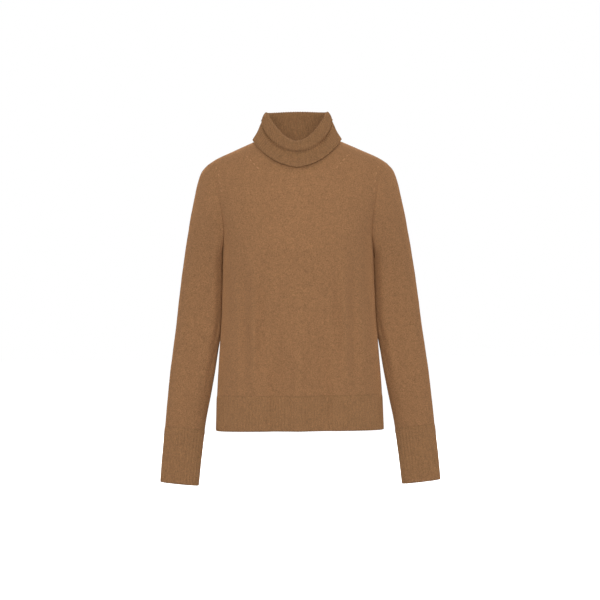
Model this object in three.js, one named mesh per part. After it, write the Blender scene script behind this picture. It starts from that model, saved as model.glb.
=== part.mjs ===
// Turtleneck sweater in fine jersey, in the hollow form it has when worn.
// Millimetres, +Z up, front towards -Y, the wearer's left arm towards +X.
// The origin is the middle of the neck opening, at the foot of the collar.
import * as THREE from 'three';

// Cloth
const JERSEY_WALL = 1.8;
const RIB_WALL = 2.2;
const RIB_RAISE = 0.6;
const SEAM_GAP = 0.3;
const SLEEVE_SEAM_GAP = 0.4;

// Heights of the body
const ARMPIT_Z = -211;
const HEM_RIB_TOP_Z = -507;
const HEM_Z = -579;
const HEM_FRONT_LIFT = 2.5;

// Roundness of the cross sections and of the shoulder, as powers of a superellipse
const TORSO_POWER = 2.4;
const SHOULDER_POWER = 2.2;
const SLEEVE_POWER = 2.2;

// Neck seam seen from above: two half ellipses that meet at the shoulder seams
const NECK_HALF_WIDTH = 79;
const NECK_FRONT = 80;
const NECK_BACK = 50;

// Body below the armpit: half width at the side seams, depth in front and behind
const TORSO = [
  { z: -579, half: 171.5, front: 103, back: 103 },
  { z: -545, half: 170.3, front: 104, back: 104 },
  { z: -507, half: 169.0, front: 104, back: 103 },
  { z: -457, half: 166.0, front: 103, back: 101 },
  { z: -396, half: 161.5, front: 102, back: 98 },
  { z: -350, half: 158.0, front: 102, back: 96 },
  { z: -300, half: 156.2, front: 105, back: 96 },
  { z: -250, half: 155.0, front: 109, back: 99 },
  { z: -211, half: 155.0, front: 113, back: 103 },
];

// Armhole from the armpit (rise 0) to the shoulder tip (rise 1): where its edge lies,
// and how wide the body's section would be if it went on under the sleeve
const ARMHOLE = [
  { rise: 0, edge: 155.0, spread: 155.0 },
  { rise: 0.115, edge: 150.2, spread: 157.0 },
  { rise: 0.31, edge: 152.0, spread: 165.0 },
  { rise: 0.61, edge: 161.0, spread: 184.0 },
  { rise: 0.82, edge: 167.5, spread: 194.0 },
  { rise: 0.93, edge: 175.0, spread: 201.0 },
  { rise: 1, edge: 184.6, spread: 206.0 },
];

// Line of the shoulder seam seen from the front
const SHOULDER = [
  { x: 0, z: 31 },
  { x: 40, z: 26.5 },
  { x: 79, z: 14 },
  { x: 100, z: 5.8 },
  { x: 136, z: -10.4 },
  { x: 165, z: -23.4 },
  { x: 184.6, z: -36.2 },
  { x: 206, z: -54 },
];

// Soft upright folds of the body: where, how long, how wide and how far they stand out
const FRONT_FOLDS = [
  { x: -91, drift: -2, top: -238, bottom: -508, width: 13, raise: 2.2 },
  { x: 93, drift: 3, top: -228, bottom: -498, width: 14, raise: 2.2 },
  { x: 0, drift: -2, top: -372, bottom: -640, width: 34, raise: 4.5 },
  { x: -54, drift: -4, top: -400, bottom: -620, width: 22, raise: -2.6 },
  { x: 56, drift: 5, top: -392, bottom: -610, width: 22, raise: -2.6 },
];
const BACK_FOLDS = [
  { x: -64, drift: -6, top: -210, bottom: -520, width: 17, raise: 3.0 },
  { x: 70, drift: 4, top: -245, bottom: -500, width: 15, raise: 2.6 },
  { x: 3, drift: 3, top: -330, bottom: -640, width: 38, raise: 4.0 },
  { x: -36, drift: -5, top: -300, bottom: -600, width: 20, raise: -2.4 },
  { x: 41, drift: 4, top: -320, bottom: -590, width: 22, raise: -2.2 },
];

// Sleeve rings from the armhole to the rib: outer and inner side seen from the front,
// half depth, how far behind the shoulder line, how far the armhole still shapes it, and
// the power of the quarter in front that lies flat beside the body
const SLEEVE = [
  { ring: 0, outX: 184.9, outZ: -36.4, inX: 155.4, inZ: -211, depth: 54, y: 0, fit: 1, square: 2.2 },
  { ring: 1, outX: 197.4, outZ: -52, inX: 155.6, inZ: -213.5, depth: 54, y: 1.5, fit: 0.8, square: 2.6 },
  { ring: 2, outX: 206.1, outZ: -77, inX: 155.6, inZ: -217, depth: 54, y: 4, fit: 0.52, square: 3.2 },
  { ring: 3, outX: 213.3, outZ: -108, inX: 155.5, inZ: -221, depth: 54, y: 8, fit: 0.27, square: 3.8 },
  { ring: 4, outX: 220.7, outZ: -144, inX: 155.2, inZ: -227, depth: 53, y: 13, fit: 0.1, square: 4.4 },
  { ring: 5, outX: 227.8, outZ: -182, inX: 154.7, inZ: -237, depth: 52, y: 18, fit: 0, square: 4.4 },
  { ring: 6, outX: 235, outZ: -225, inX: 154.7, inZ: -255, depth: 50, y: 23, fit: 0, square: 4.4 },
  { ring: 7, outX: 241.6, outZ: -268, inX: 155, inZ: -287, depth: 47, y: 26, fit: 0, square: 4.4 },
  { ring: 8, outX: 247.1, outZ: -314, inX: 156, inZ: -327, depth: 43, y: 27, fit: 0, square: 4.4 },
  { ring: 9, outX: 252.6, outZ: -358, inX: 158, inZ: -369, depth: 39, y: 26, fit: 0, square: 4.4 },
  { ring: 10, outX: 258.5, outZ: -403, inX: 165.8, inZ: -413, depth: 36, y: 24, fit: 0, square: 4.2 },
  { ring: 11, outX: 264.7, outZ: -450, inX: 173.2, inZ: -460, depth: 32, y: 20, fit: 0, square: 3.8 },
  { ring: 12, outX: 270, outZ: -496, inX: 181.9, inZ: -507, depth: 28, y: 16, fit: 0, square: 3.2 },
  { ring: 13, outX: 274, outZ: -540, inX: 190.6, inZ: -550, depth: 24, y: 12, fit: 0, square: 2.6 },
  { ring: 14, outX: 276.8, outZ: -570, inX: 195.2, inZ: -579, depth: 21.5, y: 9, fit: 0, square: 2.2 },
  { ring: 15, outX: 280.4, outZ: -606, inX: 199.9, inZ: -614, depth: 19.5, y: 7, fit: 0, square: 2.2 },
  { ring: 16, outX: 284.2, outZ: -647, inX: 204.9, inZ: -655, depth: 18, y: 5, fit: 0, square: 2.2 },
  { ring: 17, outX: 287, outZ: -684, inX: 208.9, inZ: -692.5, depth: 17, y: 4, fit: 0, square: 2.2 },
];
const CUFF_FIRST_RING = 14;
const CUFF_LAST_RING = 17;

// Collar loops from the neck seam up, over the fold and down to the loose edge.
// side, front and back are distances from the axis, the rest heights; the front dips,
// a sharp below 1 makes that dip broader, and a power over 2 makes a loop squarer
const COLLAR = [
  { side: 78, front: 80, back: 50, sideZ: 17, frontZ: -34, backZ: 12, sharp: 1, power: 2 },
  { side: 72, front: 79, back: 51.5, sideZ: 36, frontZ: -20, backZ: 36, sharp: 1, power: 2 },
  { side: 63.8, front: 77.5, back: 53, sideZ: 57, frontZ: -6, backZ: 60, sharp: 1, power: 2 },
  { side: 60.4, front: 78.5, back: 54.5, sideZ: 66, frontZ: 1.5, backZ: 71.5, sharp: 0.9, power: 2 },
  { side: 62.4, front: 83, back: 57.5, sideZ: 70, frontZ: 4.8, backZ: 76.3, sharp: 0.82, power: 2 },
  { side: 65.4, front: 90.5, back: 61.5, sideZ: 67.5, frontZ: 1.2, backZ: 74, sharp: 0.72, power: 2 },
  { side: 68.8, front: 96, back: 64, sideZ: 60.5, frontZ: -7, backZ: 66, sharp: 0.58, power: 2 },
  { side: 69.4, front: 94.5, back: 64.5, sideZ: 55.5, frontZ: -16, backZ: 59.5, sharp: 0.5, power: 2 },
  { side: 72.9, front: 92.6, back: 66, sideZ: 47, frontZ: -24, backZ: 48, sharp: 0.62, power: 2 },
  { side: 79.6, front: 92.8, back: 68.5, sideZ: 31.5, frontZ: -33.5, backZ: 30, sharp: 0.72, power: 2.1 },
  { side: 86.6, front: 94, back: 70.5, sideZ: 20, frontZ: -42, backZ: 14, sharp: 0.78, power: 2.25 },
  { side: 90.2, front: 95.2, back: 71.5, sideZ: 14.2, frontZ: -47.6, backZ: 5, sharp: 0.78, power: 2.25 },
];

// How finely each piece is divided
const NECK_COLUMNS = 16;
const SHOULDER_COLUMNS = 5;
const LOWER_ROWS = 9;
const UPPER_ROWS = 10;
const ROW_CROWDING = 1.4;
const HEM_RIBS = 68;
const HEM_COLUMNS_PER_INNER = 4;
const HEM_ROWS = 2;
const CUFF_RIBS = 30;
const CUFF_COLUMNS_PER_INNER = 3;
const CUFF_ROWS = 4;
const COLLAR_RIBS = 80;
const COLLAR_COLUMNS_PER_INNER = 5;
const COLLAR_ROWS = 13;
const BAND_LOOP = 9;
const HALVINGS = 40;
const STEPS_PER_COLUMN = 12;

const QUARTER = Math.PI / 2;
const FRONT = -1;
const BACK = 1;

const COLOURS = {
  body: 0x936b4b,
  sleeve: 0x976f4f,
  rib: 0x8c6747,
};
const JERSEY_ROUGHNESS = 0.92;

function clamp(value, low, high) {
  return Math.min(Math.max(value, low), high);
}

// A row between two rows of a table, every column on a smooth curve through its neighbours
function along(table, key, at) {
  const last = table.length - 1;
  let i = 0;
  while (i < last - 1 && at > table[i + 1][key]) {
    i += 1;
  }
  const a = table[i];
  const b = table[i + 1];
  const before = table[Math.max(i - 1, 0)];
  const after = table[Math.min(i + 2, last)];
  const step = b[key] - a[key];
  const t = clamp((at - a[key]) / step, 0, 1);
  const row = {};
  for (const column of Object.keys(a)) {
    const slopeA = ((b[column] - before[column]) / (b[key] - before[key])) * step;
    const slopeB = ((after[column] - a[column]) / (after[key] - a[key])) * step;
    const rise = b[column] - a[column];
    const bend = slopeA + slopeB - 2 * rise;
    row[column] = a[column] + t * (slopeA + t * (3 * rise - 2 * slopeA - slopeB + t * bend));
  }
  return row;
}

function bump(distance, width) {
  return Math.exp(-((distance / width) ** 2));
}

// How far the soft folds push the cloth out at a place of the front or the back
function foldHeight(side, x, z) {
  const folds = side === FRONT ? FRONT_FOLDS : BACK_FOLDS;
  let height = 0;
  for (const fold of folds) {
    const t = (z - fold.top) / (fold.bottom - fold.top);
    if (t > 0 && t < 1) {
      const middle = fold.x + fold.drift * t;
      height += fold.raise * Math.sin(Math.PI * t) ** 0.8 * bump(x - middle, fold.width);
    }
  }
  return height;
}

function sideShare(angle, power) {
  return Math.sign(angle) * Math.abs(Math.sin(angle)) ** (2 / power);
}

function faceShare(angle, power) {
  return Math.max(Math.cos(angle), 0) ** (2 / power);
}

// Bottom edge of the body, a little higher in front
function hemZ(side, across) {
  return side === FRONT ? HEM_Z + HEM_FRONT_LIFT * Math.cos(across * QUARTER) ** 2 : HEM_Z;
}

// A point of the body below the armpit; across runs from -1 to 1 between the side seams
function lowerPoint(side, across, z) {
  const section = along(TORSO, 'z', z);
  const depth = side === FRONT ? section.front : section.back;
  const x = section.half * sideShare(across * QUARTER, TORSO_POWER);
  const y = depth * faceShare(across * QUARTER, TORSO_POWER) + foldHeight(side, x, z);
  return new THREE.Vector3(x, side * y, z);
}

const ARMPIT = along(TORSO, 'z', ARMPIT_Z);
const TIP = ARMHOLE[ARMHOLE.length - 1];
const TIP_ANGLE = Math.asin((TIP.edge / TIP.spread) ** (TORSO_POWER / 2));

// Where a test turns from false to true between two values
function turningPoint(low, high, test) {
  let before = low;
  let after = high;
  for (let i = 0; i < HALVINGS; i += 1) {
    const middle = (before + after) / 2;
    if (test(middle)) {
      after = middle;
    } else {
      before = middle;
    }
  }
  return after;
}

// Distance of the cloth from the shoulder seam's plane, above the armpit
function depthAbove(side, x, rise) {
  const { spread } = along(ARMHOLE, 'rise', rise);
  const depth = side === FRONT ? ARMPIT.front : ARMPIT.back;
  const sideways = Math.max(1 - (x / spread) ** TORSO_POWER, 0) ** (1 / TORSO_POWER);
  return depth * sideways * Math.max(1 - rise ** SHOULDER_POWER, 0) ** (1 / SHOULDER_POWER);
}

function heightAbove(x, rise) {
  return ARMPIT_Z + (along(SHOULDER, 'x', x).z - ARMPIT_Z) * rise;
}

// A point of the body above the armpit; round is its angle on the quarter round from
// the armpit up to the shoulder, and across runs from -1 to 1 between the armholes
function upperPoint(side, across, round) {
  const rise = Math.sin(round) ** (2 / SHOULDER_POWER);
  const row = along(ARMHOLE, 'rise', rise);
  const edgeAngle = Math.asin(Math.min(row.edge / row.spread, 1) ** (TORSO_POWER / 2));
  const x = row.spread * sideShare(across * edgeAngle, TORSO_POWER);
  const y = depthAbove(side, Math.abs(x), rise);
  return new THREE.Vector3(x, side * y, heightAbove(Math.abs(x), rise));
}

// The angle at which a column ends: at the shoulder seam, or at the neck seam
function topAngle(side, across) {
  const neck = side === FRONT ? NECK_FRONT : NECK_BACK;
  const inNeck = (round) => {
    const { x, y } = upperPoint(side, across, round);
    return (x / NECK_HALF_WIDTH) ** 2 + (y / neck) ** 2 < 1;
  };
  return inNeck(QUARTER) ? turningPoint(0, QUARTER, inNeck) : QUARTER;
}

// Columns of a body panel: even steps round the neck seam, then out to the shoulder tip
function bodyColumns() {
  const inNeck = [];
  for (let i = 0; i <= NECK_COLUMNS; i += 1) {
    const x = NECK_HALF_WIDTH * Math.sin((i / NECK_COLUMNS - 0.5) * Math.PI);
    const angle = Math.asin((Math.abs(x) / TIP.spread) ** (TORSO_POWER / 2));
    inNeck.push((Math.sign(x) * angle) / TIP_ANGLE);
  }
  const neckEnd = inNeck[NECK_COLUMNS];
  const outside = [];
  for (let i = 1; i <= SHOULDER_COLUMNS; i += 1) {
    outside.push(neckEnd + ((1 - neckEnd) * i) / SHOULDER_COLUMNS);
  }
  const mirrored = outside.map((across) => -across).reverse();
  return [...mirrored, ...inNeck, ...outside];
}

// Steps up the armhole, closer together at the armpit; body and sleeves share them
function armholeSteps() {
  const steps = [];
  for (let j = 0; j <= UPPER_ROWS; j += 1) {
    steps.push((j / UPPER_ROWS) ** ROW_CROWDING);
  }
  return steps;
}

function bodyGrid(side) {
  const columns = bodyColumns();
  const rows = [];
  for (let j = 0; j < LOWER_ROWS; j += 1) {
    const z = HEM_RIB_TOP_Z + ((ARMPIT_Z - HEM_RIB_TOP_Z) * j) / LOWER_ROWS;
    rows.push(columns.map((across) => lowerPoint(side, across, z)));
  }
  const tops = columns.map((across) => topAngle(side, across));
  for (const up of armholeSteps()) {
    rows.push(columns.map((across, i) => upperPoint(side, across, up * tops[i])));
  }
  return rows;
}

// Unit normals of a grid of points, from its neighbours; round says that its rows close
function gridNormals(rows, round) {
  return rows.map((row, j) => row.map((point, i) => {
    const count = row.length;
    const nextRow = rows[Math.min(j + 1, rows.length - 1)];
    const lastRow = rows[Math.max(j - 1, 0)];
    const right = round ? row[(i + 1) % count] : row[Math.min(i + 1, count - 1)];
    const left = round ? row[(i + count - 1) % count] : row[Math.max(i - 1, 0)];
    const across = new THREE.Vector3().subVectors(right, left);
    const upward = new THREE.Vector3().subVectors(nextRow[i], lastRow[i]);
    return across.cross(upward).normalize();
  }));
}

function offset(rows, normals, distance) {
  return rows.map((row, j) => row.map((point, i) => (
    point.clone().addScaledVector(normals[j][i], distance)
  )));
}

// A closed wall between an outer grid and an inner grid that has one column for every
// perInner columns of the outer one; round joins the last column to the first
function wallGeometry(outer, inner, round, perInner) {
  const vertices = [...outer.flat(), ...inner.flat()];
  const outerCount = outer[0].length;
  const innerCount = inner[0].length;
  const innerStart = outer.length * outerCount;
  const faces = [];
  const outerAt = (j, i) => j * outerCount + (i % outerCount);
  const innerAt = (j, i) => innerStart + j * innerCount + (i % innerCount);
  const quad = (a, b, c, d) => {
    faces.push([a, b, c], [a, c, d]);
  };
  const outerSpan = round ? outerCount : outerCount - 1;
  const innerSpan = round ? innerCount : innerCount - 1;
  const top = outer.length - 1;
  for (let j = 0; j < top; j += 1) {
    for (let i = 0; i < outerSpan; i += 1) {
      quad(outerAt(j, i), outerAt(j, i + 1), outerAt(j + 1, i + 1), outerAt(j + 1, i));
    }
    for (let i = 0; i < innerSpan; i += 1) {
      quad(innerAt(j, i + 1), innerAt(j, i), innerAt(j + 1, i), innerAt(j + 1, i + 1));
    }
    if (!round) {
      const outerEnd = [outerAt(j + 1, outerSpan), outerAt(j, outerSpan)];
      quad(outerAt(j, 0), outerAt(j + 1, 0), innerAt(j + 1, 0), innerAt(j, 0));
      quad(innerAt(j, innerSpan), innerAt(j + 1, innerSpan), ...outerEnd);
    }
  }
  for (let i = 0; i < innerSpan; i += 1) {
    const first = i * perInner;
    const middle = first + Math.floor(perInner / 2);
    for (let k = 0; k < perInner; k += 1) {
      const near = first + k < middle ? i : i + 1;
      faces.push([outerAt(0, first + k + 1), outerAt(0, first + k), innerAt(0, near)]);
      faces.push([outerAt(top, first + k), outerAt(top, first + k + 1), innerAt(top, near)]);
    }
    faces.push([innerAt(0, i), innerAt(0, i + 1), outerAt(0, middle)]);
    faces.push([innerAt(top, i + 1), innerAt(top, i), outerAt(top, middle)]);
  }
  const geometry = new THREE.BufferGeometry();
  const positions = vertices.flatMap((point) => [point.x, point.y, point.z]);
  geometry.setAttribute('position', new THREE.Float32BufferAttribute(positions, 3));
  geometry.setIndex(turnedOutward(vertices, faces).flat());
  geometry.computeVertexNormals();
  return geometry;
}

// The same faces, all turned over if they enclose a negative volume
function turnedOutward(vertices, faces) {
  let volume = 0;
  for (const [a, b, c] of faces) {
    volume += vertices[a].dot(new THREE.Vector3().crossVectors(vertices[b], vertices[c]));
  }
  return volume > 0 ? faces : faces.map(([a, b, c]) => [a, c, b]);
}

function everyNth(rows, step) {
  return rows.map((row) => row.filter((point, i) => i % step === 0));
}

// Raised ribs: every second column of a grid moved out
function withRibs(rows, normals, raise) {
  return rows.map((row, j) => row.map((point, i) => (
    i % 2 === 1 ? point.clone().addScaledVector(normals[j][i], raise) : point.clone()
  )));
}

// Moves a front or back panel half a seam gap away from the other one
function partAtSeams(side, rows) {
  const limit = SEAM_GAP / 2;
  return rows.map((row) => row.map((point) => {
    const parted = point.clone();
    parted.y = side * Math.max(side * point.y, limit);
    return parted;
  }));
}

function outwardNormals(side, rows) {
  return gridNormals(rows, false).map((row) => row.map((normal) => normal.multiplyScalar(-side)));
}

// Normals of a body panel; on the side and shoulder seams they have no part along Y
function bodyNormals(side, rows) {
  const normals = outwardNormals(side, rows);
  rows.forEach((row, j) => row.forEach((point, i) => {
    const fromSide = Math.min(i, row.length - 1 - i);
    const onSideSeam = j <= LOWER_ROWS && fromSide === 0;
    const onShoulderSeam = j === rows.length - 1 && fromSide <= SHOULDER_COLUMNS;
    if (onSideSeam || onShoulderSeam) {
      normals[j][i].y = 0;
      normals[j][i].normalize();
    }
  }));
  return normals;
}

function piece(name, geometry, colour) {
  const finish = { color: colour, roughness: JERSEY_ROUGHNESS, metalness: 0 };
  const material = new THREE.MeshStandardMaterial(finish);
  const mesh = new THREE.Mesh(geometry, material);
  mesh.name = name;
  return mesh;
}

function bodyPanel(side, name) {
  const grid = bodyGrid(side);
  const inner = offset(grid, bodyNormals(side, grid), -JERSEY_WALL);
  const geometry = wallGeometry(partAtSeams(side, grid), partAtSeams(side, inner), false, 1);
  return piece(name, geometry, COLOURS.body);
}

// count + 1 values from 0 to 1 that divide a curve into equal lengths
function evenSteps(count, curve) {
  const fine = STEPS_PER_COLUMN * count;
  const lengths = [0];
  let last = curve(0);
  for (let i = 1; i <= fine; i += 1) {
    const point = curve(i / fine);
    lengths.push(lengths[i - 1] + point.distanceTo(last));
    last = point;
  }
  const steps = [];
  let k = 0;
  for (let i = 0; i <= count; i += 1) {
    const aim = (lengths[fine] * i) / count;
    while (k < fine - 1 && lengths[k + 1] < aim) {
      k += 1;
    }
    const share = (aim - lengths[k]) / (lengths[k + 1] - lengths[k]);
    steps.push((k + clamp(share, 0, 1)) / fine);
  }
  return steps;
}

function hemRib(side, name) {
  const columns = 2 * HEM_RIBS;
  const middleZ = (HEM_Z + HEM_RIB_TOP_Z) / 2;
  const steps = evenSteps(columns, (t) => lowerPoint(side, 2 * t - 1, middleZ));
  const rows = [];
  for (let j = 0; j <= HEM_ROWS; j += 1) {
    const row = [];
    for (let i = 0; i <= columns; i += 1) {
      const across = 2 * steps[i] - 1;
      const bottom = hemZ(side, across);
      const z = bottom + ((HEM_RIB_TOP_Z - SEAM_GAP - bottom) * j) / HEM_ROWS;
      row.push(lowerPoint(side, across, z));
    }
    rows.push(row);
  }
  const normals = outwardNormals(side, rows);
  const outer = withRibs(rows, normals, RIB_RAISE);
  const inner = everyNth(offset(rows, normals, -RIB_WALL), HEM_COLUMNS_PER_INNER);
  const parted = [partAtSeams(side, outer), partAtSeams(side, inner)];
  return piece(name, wallGeometry(...parted, false, HEM_COLUMNS_PER_INNER), COLOURS.rib);
}

// Angles of the points round a sleeve, from the top down the front and up the back,
// matched to the steps of the armhole
function sleeveAngles() {
  const front = armholeSteps().reverse().map((up) => {
    const rise = Math.sin(up * QUARTER) ** (2 / SHOULDER_POWER);
    return { angle: Math.acos(clamp(2 * rise - 1, -1, 1)), side: FRONT, up };
  });
  const back = front.slice(1, -1).reverse().map((step) => (
    { angle: 2 * Math.PI - step.angle, side: BACK, up: step.up }
  ));
  return [...front, ...back];
}

// A point of a plain sleeve ring on the +X arm
function ringPoint(row, angle) {
  const outside = new THREE.Vector3(row.outX, row.y, row.outZ);
  const inside = new THREE.Vector3(row.inX, row.y, row.inZ);
  const centre = new THREE.Vector3().addVectors(outside, inside).multiplyScalar(0.5);
  const reach = new THREE.Vector3().subVectors(outside, centre);
  const beside = Math.cos(angle) < 0 && Math.sin(angle) > 0;
  const power = beside ? row.square : SLEEVE_POWER;
  const alongReach = Math.sign(Math.cos(angle)) * Math.abs(Math.cos(angle)) ** (2 / power);
  const alongDepth = Math.sign(Math.sin(angle)) * Math.abs(Math.sin(angle)) ** (2 / power);
  const point = centre.addScaledVector(reach, alongReach);
  point.y += FRONT * row.depth * alongDepth;
  return point;
}

function sleeveGrid(angles) {
  const first = SLEEVE[0];
  return SLEEVE.slice(0, CUFF_FIRST_RING + 1).map((row) => angles.map(({ angle, side, up }) => {
    const armhole = upperPoint(side, 1, up * QUARTER);
    armhole.x += SLEEVE_SEAM_GAP;
    const difference = armhole.sub(ringPoint(first, angle));
    return ringPoint(row, angle).addScaledVector(difference, row.fit);
  }));
}

// At the armhole the sleeve's wall lies as the body's does where both face the same way
function armholeNormals(normals, angles) {
  const bodySides = [FRONT, BACK].map((side) => {
    const grid = bodyGrid(side);
    return bodyNormals(side, grid).map((row) => row[row.length - 1]);
  });
  const steps = armholeSteps();
  angles.forEach(({ side, up }, i) => {
    const bodyRow = LOWER_ROWS + steps.indexOf(up);
    const bodyNormal = bodySides[side === FRONT ? 0 : 1][bodyRow];
    if (bodyNormal.dot(normals[0][i]) > 0) {
      normals[0][i].copy(bodyNormal);
    }
  });
}

function mirrored(rows) {
  return rows.map((row) => row.map((point) => new THREE.Vector3(-point.x, point.y, point.z)));
}

function sleeve(name, isMirrored) {
  const angles = sleeveAngles();
  const grid = sleeveGrid(angles);
  const normals = gridNormals(grid, true);
  armholeNormals(normals, angles);
  const inner = offset(grid, normals, -JERSEY_WALL);
  const outerRows = isMirrored ? mirrored(grid) : grid;
  const innerRows = isMirrored ? mirrored(inner) : inner;
  return piece(name, wallGeometry(outerRows, innerRows, true, 1), COLOURS.sleeve);
}

function cuff(name, isMirrored) {
  const middle = along(SLEEVE, 'ring', (CUFF_FIRST_RING + CUFF_LAST_RING) / 2);
  const steps = evenSteps(2 * CUFF_RIBS, (t) => ringPoint(middle, 2 * Math.PI * t));
  const angles = steps.slice(0, -1).map((t) => 2 * Math.PI * t);
  const rings = CUFF_LAST_RING - CUFF_FIRST_RING;
  const grid = [];
  for (let j = 0; j <= CUFF_ROWS; j += 1) {
    const row = along(SLEEVE, 'ring', CUFF_FIRST_RING + (rings * j) / CUFF_ROWS);
    grid.push(angles.map((angle) => ringPoint(row, angle)));
  }
  const down = new THREE.Vector3(0, 0, -SLEEVE_SEAM_GAP);
  grid[0].forEach((point) => point.add(down));
  const normals = gridNormals(grid, true);
  const outer = withRibs(grid, normals, RIB_RAISE);
  const inner = everyNth(offset(grid, normals, -RIB_WALL), CUFF_COLUMNS_PER_INNER);
  const outerRows = isMirrored ? mirrored(outer) : outer;
  const innerRows = isMirrored ? mirrored(inner) : inner;
  return piece(name, wallGeometry(outerRows, innerRows, true, CUFF_COLUMNS_PER_INNER), COLOURS.rib);
}

// Height of the neck seam on the body, at an angle round the neck from the front
function neckSeamZ(angle) {
  const side = Math.cos(angle) > 0 ? FRONT : BACK;
  const x = Math.abs(NECK_HALF_WIDTH * Math.sin(angle));
  const y = (side === FRONT ? NECK_FRONT : NECK_BACK) * Math.abs(Math.cos(angle));
  const rise = turningPoint(0, 1, (up) => depthAbove(side, x, up) < y);
  return heightAbove(x, rise);
}

// A point of one collar loop; the front half dips, the back half rises
function collarLoopPoint(loop, angle) {
  const forward = Math.cos(angle);
  const sideways = Math.sin(angle);
  const reach = forward > 0 ? loop.front : loop.back;
  const dip = Math.max(Math.cos(QUARTER * Math.abs(sideways)), 0) ** loop.sharp;
  const fall = (loop.frontZ - loop.sideZ) * dip;
  const climb = (loop.backZ - loop.sideZ) * forward ** 2;
  const x = loop.side * Math.sign(sideways) * Math.abs(sideways) ** (2 / loop.power);
  const y = -reach * Math.sign(forward) * Math.abs(forward) ** (2 / loop.power);
  return new THREE.Vector3(x, y, loop.sideZ + (forward > 0 ? fall : climb));
}

// Middle of the collar's cloth at an angle, from the neck seam over the fold to the edge
function collarProfile(angle) {
  const points = COLLAR.map((loop) => collarLoopPoint(loop, angle));
  const shrink = 1 - RIB_WALL / 2 / NECK_HALF_WIDTH;
  points[0].x = NECK_HALF_WIDTH * shrink * Math.sin(angle);
  points[0].y = -(Math.cos(angle) > 0 ? NECK_FRONT : NECK_BACK) * shrink * Math.cos(angle);
  points[0].z = neckSeamZ(angle) + SEAM_GAP + RIB_RAISE;
  return new THREE.CatmullRomCurve3(points, false, 'centripetal');
}

function collar() {
  const band = COLLAR[BAND_LOOP];
  const steps = evenSteps(2 * COLLAR_RIBS, (t) => collarLoopPoint(band, 2 * Math.PI * t));
  const profiles = steps.slice(0, -1).map((t) => collarProfile(2 * Math.PI * t));
  const grid = [];
  for (let j = 0; j <= COLLAR_ROWS; j += 1) {
    grid.push(profiles.map((profile) => profile.getPoint(j / COLLAR_ROWS)));
  }
  const normals = gridNormals(grid, true).map((row) => row.map((normal) => normal.negate()));
  const face = withRibs(offset(grid, normals, RIB_WALL / 2), normals, RIB_RAISE);
  const reverse = everyNth(offset(grid, normals, -RIB_WALL / 2), COLLAR_COLUMNS_PER_INNER);
  return piece('collar', wallGeometry(face, reverse, true, COLLAR_COLUMNS_PER_INNER), COLOURS.rib);
}

const sweater = new THREE.Group();
sweater.add(bodyPanel(FRONT, 'body_front'));
sweater.add(bodyPanel(BACK, 'body_back'));
sweater.add(hemRib(FRONT, 'hem_rib_front'));
sweater.add(hemRib(BACK, 'hem_rib_back'));
sweater.add(sleeve('sleeve_left', false));
sweater.add(sleeve('sleeve_right', true));
sweater.add(cuff('cuff_left', false));
sweater.add(cuff('cuff_right', true));
sweater.add(collar());

export default sweater;
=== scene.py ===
"""Turtleneck sweater in fine camel jersey with ribbed collar, cuffs and hem, as it is when worn.

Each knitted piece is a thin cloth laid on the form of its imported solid. Tables are in
millimetres, +Z up, front towards -Y, the wearer's left arm towards +X. The origin is the
middle of the neck opening, at the foot of the collar.
"""
import math

import bmesh
import bpy
from bpy.props import FloatProperty, FloatVectorProperty, PointerProperty
from mathutils import Matrix, Vector, noise


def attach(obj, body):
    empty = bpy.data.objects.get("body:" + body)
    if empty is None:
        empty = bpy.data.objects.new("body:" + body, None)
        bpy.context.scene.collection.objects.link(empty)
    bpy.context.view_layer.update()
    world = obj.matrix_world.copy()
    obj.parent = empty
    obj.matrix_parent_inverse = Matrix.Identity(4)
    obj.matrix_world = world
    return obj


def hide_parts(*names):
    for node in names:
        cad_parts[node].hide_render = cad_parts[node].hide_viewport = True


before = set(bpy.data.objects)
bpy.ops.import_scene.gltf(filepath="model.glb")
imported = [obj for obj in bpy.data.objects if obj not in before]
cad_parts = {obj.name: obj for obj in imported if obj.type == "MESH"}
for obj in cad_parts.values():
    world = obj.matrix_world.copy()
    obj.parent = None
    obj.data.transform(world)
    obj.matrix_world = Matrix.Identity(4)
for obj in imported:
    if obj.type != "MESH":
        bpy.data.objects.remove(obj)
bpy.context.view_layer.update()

bl_info = {
    "name": "Turtleneck Sweater",
    "version": (1, 0, 0),
    "blender": (4, 5, 0),
    "location": "3D View > Sidebar > Sweater",
    "description": "Dresses the packed sweater in fine jersey and rib, on a plain pale stage",
    "category": "Object",
}

MM = 0.001
FRONT, BACK = -1, 1
QUARTER = math.pi / 2


# Tables of the sweater's form

class Table:
    """Rows of named numbers, read between rows on a smooth curve through their neighbours."""

    def __init__(self, columns, *rows):
        self.columns = columns.split()
        self.rows = rows
        self.found = {}

    def at(self, key):
        if key not in self.found:
            self.found[key] = self.between(key)
        return self.found[key]

    def between(self, key):
        rows, last = self.rows, len(self.rows) - 1
        i = 0
        while i < last - 1 and key > rows[i + 1][0]:
            i += 1
        a, b = rows[i], rows[i + 1]
        before, after = rows[max(i - 1, 0)], rows[min(i + 2, last)]
        step = b[0] - a[0]
        t = min(max((key - a[0]) / step, 0), 1)
        row = {}
        for column, name in enumerate(self.columns):
            slope_a = (b[column] - before[column]) / (b[0] - before[0]) * step
            slope_b = (after[column] - a[column]) / (after[0] - a[0]) * step
            rise = b[column] - a[column]
            bend = slope_a + slope_b - 2 * rise
            row[name] = a[column] + t * (slope_a + t * (3 * rise - 2 * slope_a - slope_b + t * bend))
        return row


ARMPIT_Z = -211
HEM_RIB_TOP_Z = -507
HEM_Z = -579
HEM_FRONT_LIFT = 2.5
TORSO_POWER = 2.4
SHOULDER_POWER = 2.2
SLEEVE_POWER = 2.2
NECK_HALF_WIDTH = 79
NECK_REACH = {FRONT: 80, BACK: 50}

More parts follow.
